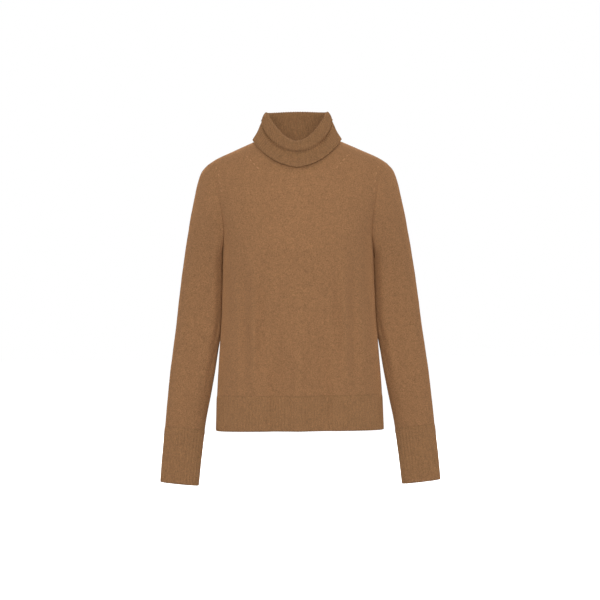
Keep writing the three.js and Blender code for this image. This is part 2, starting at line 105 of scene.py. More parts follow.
# Body below the armpit: half width at the side seams, depth in front and behind
TORSO = Table(
    "z half front back",
    (-579, 171.5, 103, 103),
    (-545, 170.3, 104, 104),
    (-507, 169.0, 104, 103),
    (-457, 166.0, 103, 101),
    (-396, 161.5, 102, 98),
    (-350, 158.0, 102, 96),
    (-300, 156.2, 105, 96),
    (-250, 155.0, 109, 99),
    (-211, 155.0, 113, 103),
)
# Armhole from the armpit to the shoulder tip: its edge, and how wide the body's section
# would be if it went on under the sleeve
ARMHOLE = Table(
    "rise edge spread",
    (0, 155.0, 155.0),
    (0.115, 150.2, 157.0),
    (0.31, 152.0, 165.0),
    (0.61, 161.0, 184.0),
    (0.82, 167.5, 194.0),
    (0.93, 175.0, 201.0),
    (1, 184.6, 206.0),
)
SHOULDER = Table(
    "x z",
    (0, 31),
    (40, 26.5),
    (79, 14),
    (100, 5.8),
    (136, -10.4),
    (165, -23.4),
    (184.6, -36.2),
    (206, -54),
)
# Soft folds of the body, from one end to the other: how wide and how far they stand out
FOLDS = {
    FRONT: (
        ((-90, -222), (-93, -508), 9, 8),
        ((-108, -240), (-111, -507), 9, -6.5),
        ((-72, -240), (-73, -500), 9, -3.5),
        ((92, -214), (95, -500), 9.5, 7.6),
        ((110, -236), (113, -502), 9, -6.2),
        ((74, -236), (76, -496), 9, -3.2),
        ((0, -296), (-2, -650), 17, 12.5),
        ((-46, -334), (-51, -640), 14, -8),
        ((47, -328), (52, -635), 15, -8),
        ((-140, -196), (-132, -300), 12, 2.4),
        ((139, -190), (133, -290), 12, 2.2),
    ),
    BACK: (
        ((-64, -210), (-70, -520), 15, 5.0),
        ((70, -245), (74, -500), 14, 4.2),
        ((3, -330), (6, -640), 28, 6.0),
        ((-36, -300), (-41, -600), 18, -4.2),
        ((41, -320), (45, -590), 20, -4.0),
        ((-136, -205), (-104, -262), 11, 2.8),
        ((137, -198), (101, -270), 12, 2.6),
    ),
}
# Sleeve rings from the armhole to the cuff's edge: outer and inner side seen from the
# front, half depth, how far behind the shoulder line, how far the armhole still shapes it,
# and the power of the quarter in front that lies flat beside the body
SLEEVE = Table(
    "ring out_x out_z in_x in_z depth y fit square",
    (0, 184.9, -36.4, 155.4, -211, 54, 0, 1, 2.2),
    (1, 197.4, -52, 155.6, -213.5, 54, 1.5, 0.8, 2.6),
    (2, 206.1, -77, 155.6, -217, 54, 4, 0.52, 3.2),
    (3, 213.3, -108, 155.5, -221, 54, 8, 0.27, 3.8),
    (4, 220.7, -144, 155.2, -227, 53, 13, 0.1, 4.4),
    (5, 227.8, -182, 154.7, -237, 52, 18, 0, 4.4),
    (6, 235, -225, 154.7, -255, 50, 23, 0, 4.4),
    (7, 241.6, -268, 155, -287, 47, 26, 0, 4.4),
    (8, 247.1, -314, 156, -327, 43, 27, 0, 4.4),
    (9, 252.6, -358, 158, -369, 39, 26, 0, 4.4),
    (10, 258.5, -403, 165.8, -413, 36, 24, 0, 4.2),
    (11, 264.7, -450, 173.2, -460, 32, 20, 0, 3.8),
    (12, 270, -496, 181.9, -507, 28, 16, 0, 3.2),
    (13, 274, -540, 190.6, -550, 24, 12, 0, 2.6),
    (14, 276.8, -570, 195.2, -579, 21.5, 9, 0, 2.2),
    (15, 280.4, -606, 199.9, -614, 19.5, 7, 0, 2.2),
    (16, 284.2, -647, 204.9, -655, 18, 5, 0, 2.2),
    (17, 287, -684, 208.9, -692.5, 17, 4, 0, 2.2),
)
CUFF_FIRST_RING = 14
CUFF_LAST_RING = 17
# Soft folds of the +X sleeve, from one end to the other: rings and angles in degrees (0 is
# the outer side, 90 the front), how wide in degrees and how far they stand out
SLEEVE_FOLDS = (
    ((2.6, 106), (13.4, 112), 15, 3.0),
    ((4.2, 78), (12.5, 70), 20, -1.6),
    ((8.2, 148), (10.2, 118), 12, -2.2),
    ((9.4, 152), (11.4, 124), 12, -1.8),
    ((3.4, 252), (13.2, 262), 18, 2.8),
    ((6.2, 300), (9.4, 276), 13, 2.0),
    ((7.6, 214), (9.8, 240), 12, -2.4),
    ((9.0, 210), (10.8, 236), 11, -2.0),
)
# How blunt the ends of the folds are, on the body and on the sleeves (less is blunter)
FOLD_END = 0.8
SLEEVE_FOLD_END = 0.7
# Small unevenness of cloth that hangs freely: how far it goes and how long its waves are
SLACK = ((0.45, 42), (0.2, 17))

# Collar loops from the neck seam up, over the fold and down to the loose edge: distances
# from the axis, heights, how broad the dip in front is (less is broader), how square the
# loop is seen from above, how far the crease under the roll draws it in, and how far it
# comes to a point in front
COLLAR = (
    # side, front, back, side_z, front_z, back_z, sharp, power, tuck, point
    (78.0, 80.0, 50.0, 17, -34, 12, 1, 2, 0, 0),
    (72.0, 79.0, 51.5, 36, -20, 36, 1, 2, 0, 0),
    (63.8, 77.5, 53.0, 57, -6, 60, 1, 2, 0, 0),
    (60.4, 78.5, 54.5, 66, 1.5, 71.5, 0.9, 2, 0, 0),
    (62.4, 83.0, 57.5, 70, 4.8, 76.3, 0.82, 2, 0, 0),
    (65.4, 90.5, 61.5, 67.5, 1.2, 74, 0.72, 2, 0, 0),
    (68.6, 96.0, 64.2, 61.5, -6.5, 67, 0.58, 2, -0.8, 0),
    (69.8, 96.8, 65.0, 57.5, -13, 62.5, 0.5, 2, -1.2, 0),
    (70.2, 93.6, 65.0, 55.5, -16.5, 60, 0.46, 2, 3.4, 0),
    (71.6, 92.4, 65.6, 51, -21, 54, 0.5, 2, 2.6, 0),
    (73.9, 92.3, 66.4, 45, -26, 46, 0.6, 2.05, 0, 0.6),
    (79.6, 92.8, 68.5, 31.5, -32.5, 30, 0.72, 2.1, 0, 1.8),
    (86.6, 94.0, 70.5, 20, -40.0, 14, 0.78, 2.25, 0, 2.7),
    (90.2, 95.2, 71.5, 14.2, -44.8, 5, 0.78, 2.25, 0, 3.0),
)
# The loop round which the collar's ribs are spaced evenly
BAND_LOOP = 11
# How far the collar's first row reaches below the panels' neck edge, so no light comes through
NECK_LAP = 1.5
# Width of the point in front, as a share of the collar's half width
POINT_WIDTH = 0.14
# The crease under the roll: the share of its depth that it has in front and behind, the share
# that it loses at the sides, and how many degrees that shallow place reaches
TUCK_FRONT_BACK = 0.15
TUCK_SIDE_LOSS = 0.85
TUCK_SIDE_REACH = 9

# How finely each piece is laid
NECK_STEPS = 26
SHOULDER_STEPS = 26
LOWER_ROWS = 84
UPPER_ROWS = 84
SLEEVE_SIDE_STEPS = 46
ROWS_PER_RING = 8
HEM_RIBS = 68
CUFF_RIBS = 30
COLLAR_RIBS = 80
STEPS_PER_RIB = 8
COLLAR_STEPS_PER_RIB = 6
HEM_ROWS = 22
CUFF_ROWS = 34
ROWS_PER_LOOP = 7
WALES_PER_RIB = 4
# How lines crowd together beside the neck (0 is not at all) and at the armpit (1 is not at all)
NECK_CROWDING = 0.6
ARMPIT_CROWDING = 1.4
# Lines close to the side seams, to the panels' upper edge and to the armhole
SIDE_LINES = (0.993, 0.9975, 1)
TOP_LINES = (0.9955, 1)
ARMHOLE_RINGS = (0.03, 0)
# The narrow row at a bound edge, as a share of the rib's height or in the collar of a row's
HEM_EDGE_ROW = 0.012
CUFF_EDGE_ROW = 0.008
COLLAR_EDGE_ROW = 0.15

# How often a search halves its span, and how many steps a measured curve has to a column
HALVINGS = 30
FINE_STEPS = 12
# Shortest step of a smooth curve, in millimetres, and widest gap that is welded, in metres
SHORTEST_SPAN = 1e-4
WELD_DISTANCE = 1e-6


# Shape of the cloth, in millimetres

def squared(share, power):
    """A share of an ellipse's axis, moved to where a squarer section of that power has it."""
    return math.copysign(abs(share) ** (2 / power), share)


def bump(distance, width):
    """The shape across a fold, 1 at its middle line."""
    return math.exp(-((distance / width) ** 2))


def fold_height(folds, x, z):
    """How far the soft folds push the cloth out at a place."""
    height = 0
    for (x1, z1), (x2, z2), width, lift in folds:
        run_x, run_z = x2 - x1, z2 - z1
        length = math.hypot(run_x, run_z)
        t = ((x - x1) * run_x + (z - z1) * run_z) / length ** 2
        if 0 < t < 1:
            off = ((x - x1) * run_z - (z - z1) * run_x) / length
            height += lift * math.sin(math.pi * t) ** FOLD_END * bump(off, width)
    return height


def hem_z(side, across):
    """Height of the hem's edge, which is drawn up a little in front."""
    return HEM_Z + (HEM_FRONT_LIFT * math.cos(across * QUARTER) ** 2 if side == FRONT else 0)


def lower_point(side, across, z):
    """A point of the body below the armpit; across runs from -1 to 1 between the side seams."""
    section = TORSO.at(z)
    depth = section["front"] if side == FRONT else section["back"]
    turn = across * QUARTER
    x = section["half"] * squared(math.sin(turn), TORSO_POWER)
    y = depth * squared(max(math.cos(turn), 0), TORSO_POWER) + fold_height(FOLDS[side], x, z)
    return Vector((x, side * y, z))


ARMPIT = TORSO.at(ARMPIT_Z)
TIP = ARMHOLE.at(1)
TIP_ANGLE = math.asin((TIP["edge"] / TIP["spread"]) ** (TORSO_POWER / 2))


def turning_point(low, high, test):
    """Where a test turns from false to true between two values."""
    for _ in range(HALVINGS):
        middle = (low + high) / 2
        if test(middle):
            high = middle
        else:
            low = middle
    return high


def depth_above(side, x, rise):
    """Distance of the cloth from the shoulder seam's plane, above the armpit."""
    spread = ARMHOLE.at(rise)["spread"]
    depth = ARMPIT["front"] if side == FRONT else ARMPIT["back"]
    sideways = max(1 - (x / spread) ** TORSO_POWER, 0) ** (1 / TORSO_POWER)
    return depth * sideways * max(1 - rise ** SHOULDER_POWER, 0) ** (1 / SHOULDER_POWER)


def height_above(x, rise):
    """Height at a share of the way from the armpit to the shoulder."""
    return ARMPIT_Z + (SHOULDER.at(x)["z"] - ARMPIT_Z) * rise


def rise_at(turn):
    """Share of the way up at an angle from the armpit to the shoulder."""
    return min(math.sin(turn), 1) ** (2 / SHOULDER_POWER)


def upper_point(side, across, turn):
    """A point of the body above the armpit; turn is the angle from the armpit to the shoulder."""
    rise = rise_at(turn)
    row = ARMHOLE.at(rise)
    edge_angle = math.asin(min(row["edge"] / row["spread"], 1) ** (TORSO_POWER / 2))
    x = row["spread"] * squared(math.sin(across * edge_angle), TORSO_POWER)
    y = depth_above(side, abs(x), rise)
    return Vector((x, side * y, height_above(abs(x), rise)))


def top_angle(side, across):
    """The angle at which a column of the body ends, at the shoulder seam or the neck seam."""
    def in_neck(turn):
        point = upper_point(side, across, turn)
        return (point.x / NECK_HALF_WIDTH) ** 2 + (point.y / NECK_REACH[side]) ** 2 < 1
    return turning_point(0, QUARTER, in_neck) if in_neck(QUARTER) else QUARTER


def neck_seam_z(angle):
    """Height of the neck seam on the body, at an angle round the neck from the front."""
    side = FRONT if math.cos(angle) > 0 else BACK
    x = abs(NECK_HALF_WIDTH * math.sin(angle))
    y = NECK_REACH[side] * abs(math.cos(angle))
    return height_above(x, turning_point(0, 1, lambda rise: depth_above(side, x, rise) < y))


def ring_point(row, angle):
    """A point of a plain sleeve ring on the +X arm."""
    out = Vector((row["out_x"], row["y"], row["out_z"]))
    inside = Vector((row["in_x"], row["y"], row["in_z"]))
    beside = math.cos(angle) < 0 < math.sin(angle)
    power = row["square"] if beside else SLEEVE_POWER
    point = (out + inside) / 2 + (out - inside) / 2 * squared(math.cos(angle), power)
    point.y += FRONT * row["depth"] * squared(math.sin(angle), power)
    return point


def sleeve_fold(ring, angle):
    """How far the soft folds push the sleeve's cloth out at a place."""
    degrees = math.degrees(angle)
    height = 0
    for (ring_1, angle_1), (ring_2, angle_2), width, lift in SLEEVE_FOLDS:
        t = (ring - ring_1) / (ring_2 - ring_1)
        if 0 < t < 1:
            off = degrees - angle_1 - (angle_2 - angle_1) * t
            height += lift * math.sin(math.pi * t) ** SLEEVE_FOLD_END * bump(off, width)
    return height


def tuck_share(angle):
    """How much of its depth the collar's crease has at an angle round the neck."""
    from_side = math.degrees(math.acos(min(abs(math.sin(angle)), 1)))
    sideways = TUCK_FRONT_BACK + (1 - TUCK_FRONT_BACK) * math.sin(angle) ** 2
    return (1 - TUCK_SIDE_LOSS * bump(from_side, TUCK_SIDE_REACH)) * sideways


def collar_loop_point(loop, angle):
    """A point of one collar loop; the front half dips, the back half rises."""
    side, front, back, side_z, front_z, back_z, sharp, power, tuck, point = loop
    forward, sideways = math.cos(angle), math.sin(angle)
    reach = front if forward > 0 else back
    dip = max(math.cos(QUARTER * abs(sideways)), 0) ** sharp
    z = side_z + ((front_z - side_z) * dip if forward > 0 else (back_z - side_z) * forward ** 2)
    x = side * squared(sideways, power)
    y = -reach * squared(forward, power)
    if forward > 0:
        z -= point * math.exp(-abs(sideways) / POINT_WIDTH)
    drawn = tuck * tuck_share(angle)
    return Vector((x - drawn * sideways, y + drawn * forward, z))


def through(points, t):
    """A point of the smooth curve through points, at t from 0 to 1."""
    place = t * (len(points) - 1)
    i = min(int(place), len(points) - 2)
    w = place - i
    b, c = points[i], points[i + 1]
    a = points[i - 1] if i > 0 else 2 * b - c
    d = points[i + 2] if i + 2 < len(points) else 2 * c - b
    ab, bc, cd = (max((q - p).length, SHORTEST_SPAN) ** 0.5 for p, q in ((a, b), (b, c), (c, d)))
    slope_b = ((b - a) / ab - (c - a) / (ab + bc) + (c - b) / bc) * bc
    slope_c = ((c - b) / bc - (d - b) / (bc + cd) + (d - c) / cd) * bc
    return b + w * (slope_b + w * (3 * (c - b) - 2 * slope_b - slope_c
                                   + w * (2 * (b - c) + slope_b + slope_c)))


def running(points):
    """Lengths along points, from the first."""
    lengths = [0.0]
    for p, q in zip(points, points[1:]):
        lengths.append(lengths[-1] + (q - p).length)
    return lengths


def even_steps(curve, count):
    """count + 1 values from 0 to 1 that divide a curve into equal lengths."""
    fine = FINE_STEPS * count
    lengths = running([curve(i / fine) for i in range(fine + 1)])
    steps, k = [], 0
    for i in range(count + 1):
        aim = lengths[-1] * i / count
        while k < fine - 1 and lengths[k + 1] < aim:
            k += 1
        share = (aim - lengths[k]) / (lengths[k + 1] - lengths[k])
        steps.append((k + min(max(share, 0), 1)) / fine)
    return steps


# From rows of points to cloth

def grid_normals(rows, tube, outward):
    """Unit normals of rows of points; a tube's first and last columns are the same."""
    normals = []
    last = len(rows[0]) - 1
    for j, row in enumerate(rows):
        above, below = rows[min(j + 1, len(rows) - 1)], rows[max(j - 1, 0)]
        line = []
        for i in range(last + 1):
            right = row[1] if tube and i == last else row[min(i + 1, last)]
            left = row[last - 1] if tube and i == 0 else row[max(i - 1, 0)]
            line.append((right - left).cross(above[i] - below[i]).normalized() * outward)
        normals.append(line)
    return normals


def pushed(rows, normals, height):
    """The rows moved along their normals by height(i, j)."""
    return [
        [point + normals[j][i] * height(i, j) for i, point in enumerate(row)]
        for j, row in enumerate(rows)
    ]


def ease(i, j, last_i, last_j, reach=6):
    """0 at a piece's edges and 1 from reach lines inside them."""
    t = min(i, j, last_i - i, last_j - j, reach) / reach
    return t * t * (3 - 2 * t)


def slack(point):
    """How far freely hanging cloth stands out at a place."""
    return sum(lift * noise.noise(point / length) for lift, length in SLACK)


def placed(name, bm, finish):
    """The mesh that bm holds as an object of the scene with a finish."""
    mesh = bpy.data.meshes.new(name)
    bm.to_mesh(mesh)
    bm.free()
    mesh.materials.append(finish)
    piece = bpy.data.objects.new(name, mesh)
    bpy.context.collection.objects.link(piece)
    return piece


def cloth(name, rows, normals, thickness, finish, tube=False, ribs=0, rib_width=0.0, loose=()):
    """Lays a grid of cloth through rows of points and gives it its thickness inwards.

    The UV map holds the cloth's own width and height in metres; ribs sets its width by
    the rib, so that the wales of the knit follow the ribs. The rows in loose are edges
    that hang free and look rounded; every other edge is seamed to its neighbour.
    """
    up, across = len(rows) - 1, len(rows[0]) - 1
    bm = bmesh.new()
    uv = bm.loops.layers.uv.new("UVMap")
    bmesh.ops.create_grid(bm, x_segments=across, y_segments=up, size=0.5)
    row_of = bm.verts.layers.int.new("row")
    places = {}
    for vert in bm.verts:
        i, j = round((vert.co.x + 0.5) * across), round((vert.co.y + 0.5) * up)
        places[vert.index] = (i, j)
        vert[row_of] = j
        vert.co = rows[j][i] * MM
    widths = [running(row) for row in rows]
    heights = [running(column) for column in zip(*rows)]
    middle = across // 2
    for face in bm.faces:
        face.smooth = True
        for loop in face.loops:
            i, j = places[loop.vert.index]
            u = (i / across - 0.5) * ribs * rib_width if ribs else widths[j][i] - widths[j][middle]
            loop[uv].uv = (u * MM, heights[i][j] * MM)
    bm.faces.ensure_lookup_table()
    bm.normal_update()
    face = bm.faces[len(bm.faces) // 2]
    i, j = places[face.verts[0].index]
    if face.normal.dot(normals[j][i]) < 0:
        bmesh.ops.reverse_faces(bm, faces=bm.faces)
    if tube:
        bmesh.ops.remove_doubles(bm, verts=bm.verts, dist=WELD_DISTANCE)
    for edge in bm.edges:
        ends = {vert[row_of] for vert in edge.verts}
        edge.smooth = not edge.is_boundary or (len(ends) == 1 and ends <= set(loose))
    bm.verts.layers.int.remove(row_of)
    piece = placed(name, bm, finish)
    shell = piece.modifiers.new("cloth thickness", "SOLIDIFY")
    shell.thickness = thickness
    shell.offset = -1
    return piece


def declare(piece, node):
    """Attaches a cloth to the root body and hides the solid that it stands for."""
    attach(piece, "root")
    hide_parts(node)


def mirrored(rows):
    return [[Vector((-point.x, point.y, point.z)) for point in row] for row in rows]


# Finishes

class Value:
    """A number in a finish; sums, products and the like of it add Math nodes."""

    def __init__(self, finish, socket):
        self.finish = finish
        self.socket = socket

    def math(self, operation, *others):
        return self.finish.math(operation, self, *others)

    def __add__(self, other):
        return self.math("ADD", other)

    def __sub__(self, other):
        return self.math("SUBTRACT", other)

    def __rsub__(self, other):
        return self.finish.math("SUBTRACT", other, self)

    def __mul__(self, other):
        return self.math("MULTIPLY", other)

    def __truediv__(self, other):
        return self.math("DIVIDE", other)

    __radd__ = __add__


class Finish:
    """A procedural material under a Principled shader."""

    def __init__(self, name):
        self.material = bpy.data.materials.new(name)
        self.material.use_nodes = True
        self.tree = self.material.node_tree
        self.tree.nodes.clear()
        self.shader = self.node("ShaderNodeBsdfPrincipled")
        output = self.node("ShaderNodeOutputMaterial")
        self.tree.links.new(self.shader.outputs["BSDF"], output.inputs["Surface"])

    def node(self, kind, settings=None, sockets=None):
        node = self.tree.nodes.new(kind)
        for name, value in (settings or {}).items():
            setattr(node, name, value)
        for key, value in (sockets or {}).items():
            self.put(node.inputs[key], value)
        return node

    def put(self, socket, value):
        if isinstance(value, Value):
            value = value.socket
        if isinstance(value, bpy.types.NodeSocket):
            self.tree.links.new(value, socket)
        else:
            socket.default_value = value

    def math(self, operation, *values):
        sockets = dict(enumerate(values))
        return Value(self, self.node("ShaderNodeMath", {"operation": operation}, sockets).outputs[0])

    def noise(self, vector, scale, detail, roughness):
        sockets = {"Vector": vector, "Scale": scale, "Detail": detail, "Roughness": roughness}
        return Value(self, self.node("ShaderNodeTexNoise", None, sockets).outputs["Fac"])

    def mixed(self, factor, a, b):
        node = self.node("ShaderNodeMix", {"data_type": "RGBA"})
        self.put(node.inputs[0], factor)
        self.put(node.inputs[6], a)
        self.put(node.inputs[7], b)
        return node.outputs[2]


def shade(colour, factor):
    return tuple(min(channel * factor, 1) for channel in colour[:3]) + (1,)


# Noise that colours the yarn: scale, detail, roughness and share of the contrast, of single
# fibres, of flecks where light and dark fibres are blended, and of faint patches
YARN_NOISE = ((1150, 3, 0.6, 1), (430, 2, 0.5, 0.75), (120, 2, 0.5, 0.16))
YARN_CONTRAST = 2.0
MARK_CONTRAST = 1.0
# The darkest and the lightest yarn, as shares of the colour
DARK_YARN = 0.62
LIGHT_YARN = 1.38
# A stitch is a V of two legs: how steeply they lean, how much lower their ends are, and how
# much darker the gap beside a stitch is painted, as painted shade
LEG_LEAN = 1.5
LEG_END_DROP = 0.75
STITCH_GAP_PAINTED_SHADE = 0.1
# Painted shade on a piece's first row, by its seam or loose edge: its width in metres and how much
# darker it is
FIRST_ROW_WIDTH = 0.003
FIRST_ROW_PAINTED_SHADE = 0.3
# Fuzz on the yarn: scale, detail and roughness of its noise
FUZZ = (2600, 2, 0.7)
# Shares of stitches and fuzz in the relief, and how strongly it shades the knit
STITCH_HEIGHT = 0.8
FUZZ_HEIGHT = 0.35
RELIEF_STRENGTH = 0.55
# How dull the yarn is, and how much duller the fuzz makes it
YARN_ROUGHNESS = 0.86
FUZZ_ROUGHNESS = 0.12
# The yarn's faint shine and the nap's sheen, whose colour is a share of the yarn's
SHINE = {"Specular IOR Level": 0.18, "Sheen Weight": 0.65, "Sheen Roughness": 0.42}
SHEEN_SHADE = 2.4


def knit_finish(name, colour, sizes, contrast):
    """Knitted yarn of blended light and dark fibres, with its stitches in relief."""
    known = bpy.data.materials.get(name)
    if known:
        return known
    finish = Finish(name)
    sockets = finish.shader.inputs
    coordinates = finish.node("ShaderNodeTexCoord")
    parts = finish.node("ShaderNodeSeparateXYZ", None, {"Vector": coordinates.outputs["UV"]})
    u, v = (Value(finish, parts.outputs[axis]) for axis in ("X", "Y"))
    place = coordinates.outputs["Object"]

    wale = ((u / sizes.wale_width).math("FRACT") - 0.5).math("ABSOLUTE")
    course = (v / sizes.course_height - wale * LEG_LEAN).math("FRACT")
    across = 1 - (wale * 4 - 1) * (wale * 4 - 1)
    along = 1 - (course * 2 - 1) * (course * 2 - 1) * LEG_END_DROP
    stitch = across * along

    tone = sum((
        (finish.noise(place, scale, detail, roughness) - 0.5) * (contrast * share)
        for scale, detail, roughness, share in YARN_NOISE
    ), start=0.5)
    # Painted shade along each piece's first row
    first_row_painted_shade = 1 - (v.math("ABSOLUTE") / FIRST_ROW_WIDTH).math("MINIMUM", 1.0)
    # The gaps beside the stitches are darkened as painted shade
    lightness = tone + (stitch - 0.5) * STITCH_GAP_PAINTED_SHADE - first_row_painted_shade * FIRST_ROW_PAINTED_SHADE
    tint = finish.mixed(lightness, shade(colour, DARK_YARN), shade(colour, LIGHT_YARN))
    finish.put(sockets["Base Color"], tint)

    fuzz = finish.noise(place, *FUZZ)
    relief = finish.node("ShaderNodeBump", None, {
        "Strength": RELIEF_STRENGTH,
        "Distance": sizes.stitch_relief,
        "Height": stitch * STITCH_HEIGHT + fuzz * FUZZ_HEIGHT,
    })
    finish.put(sockets["Normal"], relief.outputs["Normal"])
    finish.put(sockets["Roughness"], YARN_ROUGHNESS + fuzz * FUZZ_ROUGHNESS)
    for socket, value in SHINE.items():
        finish.put(sockets[socket], value)
    finish.put(sockets["Sheen Tint"], shade(colour, SHEEN_SHADE))
    return finish.material


def jersey(settings):
    return knit_finish("camel_jersey", settings.colours.jersey, settings.sizes, YARN_CONTRAST)


def rib(settings):
    return knit_finish("camel_rib", settings.colours.rib, settings.sizes, YARN_CONTRAST)


# The collar's finish, whose darker colour is painted shade under the roll
def collar_rib_painted_shade(settings):
    return knit_finish("camel_collar_rib", settings.colours.collar, settings.sizes, YARN_CONTRAST)


# The marks' finish, whose lighter colour is a painted highlight
def mark_stitches_painted_highlight(settings):
    return knit_finish("camel_mark", settings.colours.mark, settings.sizes, MARK_CONTRAST)


# Settings that a user would change

class SweaterSizes(bpy.types.PropertyGroup):
    jersey_thickness: FloatProperty(
        name="Jersey Thickness", description="Thickness of the plain knitted cloth",
        default=0.0018, min=0.0005, unit="LENGTH", precision=4)
    rib_thickness: FloatProperty(
        name="Rib Thickness", description="Thickness of the ribbed cloth between its ribs",
        default=0.0022, min=0.0005, unit="LENGTH", precision=4)
    rib_raise: FloatProperty(
        name="Rib Height", description="How far a rib stands out", default=0.0008, min=0,
        unit="LENGTH", precision=4)
    wale_width: FloatProperty(
        name="Wale Width", description="Width of one column of stitches", default=0.00165,
        min=0.0005, unit="LENGTH", precision=5)
    course_height: FloatProperty(
        name="Course Height", description="Height of one row of stitches", default=0.00125,
        min=0.0005, unit="LENGTH", precision=5)
    stitch_relief: FloatProperty(
        name="Stitch Relief", description="How far the stitches stand out", default=0.0004,
        min=0, unit="LENGTH", precision=5)
    seam_depth: FloatProperty(
        name="Seam Depth", description="How deep the linked seams lie", default=0.0003, min=0,
        unit="LENGTH", precision=4)
    mark_length: FloatProperty(
        name="Mark Length", description="Length of a fashioning mark", default=0.006,
        min=0.001, unit="LENGTH", precision=4)
    mark_width: FloatProperty(
        name="Mark Width", description="Width of a fashioning mark", default=0.0019,
        min=0.0005, unit="LENGTH", precision=4)
    mark_height: FloatProperty(
        name="Mark Height", description="How far a fashioning mark stands out", default=0.0008,
        min=0, unit="LENGTH", precision=4)


class SweaterColours(bpy.types.PropertyGroup):
    jersey: FloatVectorProperty(
        name="Jersey", description="Colour of the plain knit", subtype="COLOR", size=3,
        default=(0.232, 0.1155, 0.0505), min=0, max=1)
    rib: FloatVectorProperty(
        name="Rib", description="Colour of the ribbed cuffs and hem", subtype="COLOR", size=3,
        default=(0.222, 0.1125, 0.0488), min=0, max=1)
    # The collar's colour is darker than the jersey's as painted shade, for the shade the roll casts
    # on the band under it
    collar: FloatVectorProperty(
        name="Collar", description="Colour of the ribbed collar, where the knit is denser",
        subtype="COLOR", size=3, default=(0.189, 0.0958, 0.0412), min=0, max=1)
    # The marks' colour is lighter than the jersey's as a painted highlight on their raised stitches
    mark: FloatVectorProperty(
        name="Mark", description="Colour of the fashioning marks, whose stitches catch the light",
        subtype="COLOR", size=3, default=(0.33, 0.172, 0.081), min=0, max=1)
    floor: FloatVectorProperty(
        name="Floor", description="Colour of the floor", subtype="COLOR", size=3,
        default=(0.93, 0.93, 0.93), min=0, max=1)


class StageSizes(bpy.types.PropertyGroup):
    floor_level: FloatProperty(
        name="Floor Level", description="Height of the floor", default=-0.86, unit="LENGTH")
    floor_size: FloatProperty(
        name="Floor Size", description="Half the floor's width", default=14, unit="LENGTH")
    camera_distance: FloatProperty(
        name="Camera Distance", description="From the camera to the middle of the sweater",
        default=4, unit="LENGTH")
    key_power: FloatProperty(
        name="Key Light", description="Power of which each soft lamp has a share",
        default=68, unit="POWER")
    surround: FloatProperty(
        name="Surround Light", description="Strength of the even light from all round", default=0.41)


class SweaterSettings(bpy.types.PropertyGroup):
    sizes: PointerProperty(type=SweaterSizes)
    colours: PointerProperty(type=SweaterColours)
    stage: PointerProperty(type=StageSizes)


# Body

# How far seamed edges lie in, at the edge and on the two lines beside it, as shares of
# the seam depth
SEAM_PROFILE = (-1, -0.25, 0.2)


def seam_share(lines_from_edge):
    return SEAM_PROFILE[lines_from_edge] if lines_from_edge < len(SEAM_PROFILE) else 0


def panel_columns():
    """Places of a panel's columns, from -1 to 1 between its side seams."""
    half = []
    for i in range(NECK_STEPS + 1):
        turn = i / NECK_STEPS
        share = NECK_CROWDING * math.sin(turn * QUARTER) + (1 - NECK_CROWDING) * turn
        x = NECK_HALF_WIDTH * share
        half.append(math.asin((x / TIP["spread"]) ** (TORSO_POWER / 2)) / TIP_ANGLE)
    neck_end = half[-1]
    for i in range(1, SHOULDER_STEPS + 1):
        half.append(neck_end + (SIDE_LINES[0] - neck_end) * i / SHOULDER_STEPS)
    half += SIDE_LINES[1:]
    return [-across for across in reversed(half[1:])] + half


def panel_rows():
    """Shares of the way up above the armpit, close together at both ends."""
    return [(j / UPPER_ROWS) ** ARMPIT_CROWDING for j in range(UPPER_ROWS)] + list(TOP_LINES)


def body_panel(name, side, node, settings):
    """One panel, from the hem rib to the shoulders."""
    columns = panel_columns()
    rows = []
    for j in range(LOWER_ROWS):
        z = HEM_RIB_TOP_Z + (ARMPIT_Z - HEM_RIB_TOP_Z) * j / LOWER_ROWS
        rows.append([lower_point(side, across, z) for across in columns])
    tops = [top_angle(side, across) for across in columns]
    for up in panel_rows():
        rows.append([upper_point(side, a, up * top) for a, top in zip(columns, tops)])
    normals = grid_normals(rows, False, -side)
    last_i, last_j = len(columns) - 1, len(rows) - 1
    depth = settings.sizes.seam_depth / MM

    def relief(i, j):
        seam = depth * min(seam_share(min(i, last_i - i)), seam_share(last_j - j))
        return seam + slack(rows[j][i]) * ease(i, j, last_i, last_j)

    laid = pushed(rows, normals, relief)
    piece = cloth(name, laid, normals, settings.sizes.jersey_thickness, jersey(settings))
    declare(piece, node)


class SWEATER_OT_body(bpy.types.Operator):
    """Lay the front and back panels of the body in plain jersey"""
    bl_idname = "sweater.body"
    bl_label = "Body Panels"

    def execute(self, context):
        body_panel("front_panel", FRONT, "body_front", context.scene.sweater)
        body_panel("back_panel", BACK, "body_back", context.scene.sweater)
        return {"FINISHED"}


# Fashioning marks

# Stitches drawn over their neighbours where the panels are narrowed: down the armhole,
# by the share of the way up it, and beside the neck, by distance sideways and height
ARMHOLE_MARKS = (0.62, 0.71, 0.8, 0.885)
ARMHOLE_MARK_INSET = 7
NECK_MARKS = ((101, -23), (94, -31), (87, -39), (80, -47))
MARK_LEAN = 0.75


def cloth_above(side, x, z):
    """A point of the body above the armpit, at a distance sideways and a height."""
    rise = (z - ARMPIT_Z) / (SHOULDER.at(abs(x))["z"] - ARMPIT_Z)
    return Vector((x, side * depth_above(side, abs(x), rise), z))


def upper_surface(side, x, z):
    """A point of the panel as it is laid above the armpit, and its outward normal."""
    point = cloth_above(side, x, z)
    across = cloth_above(side, x + 1, z) - cloth_above(side, x - 1, z)
    up = cloth_above(side, x, z + 1) - cloth_above(side, x, z - 1)
    normal = across.cross(up).normalized() * -side
    return point + normal * slack(point), normal


def mark_places():
    """Distance sideways and height of each mark on the +X half of a panel."""
    places = []
    for rise in ARMHOLE_MARKS:
        x = ARMHOLE.at(rise)["edge"] - ARMHOLE_MARK_INSET
        places.append((x, height_above(x, rise)))
    return places + list(NECK_MARKS)


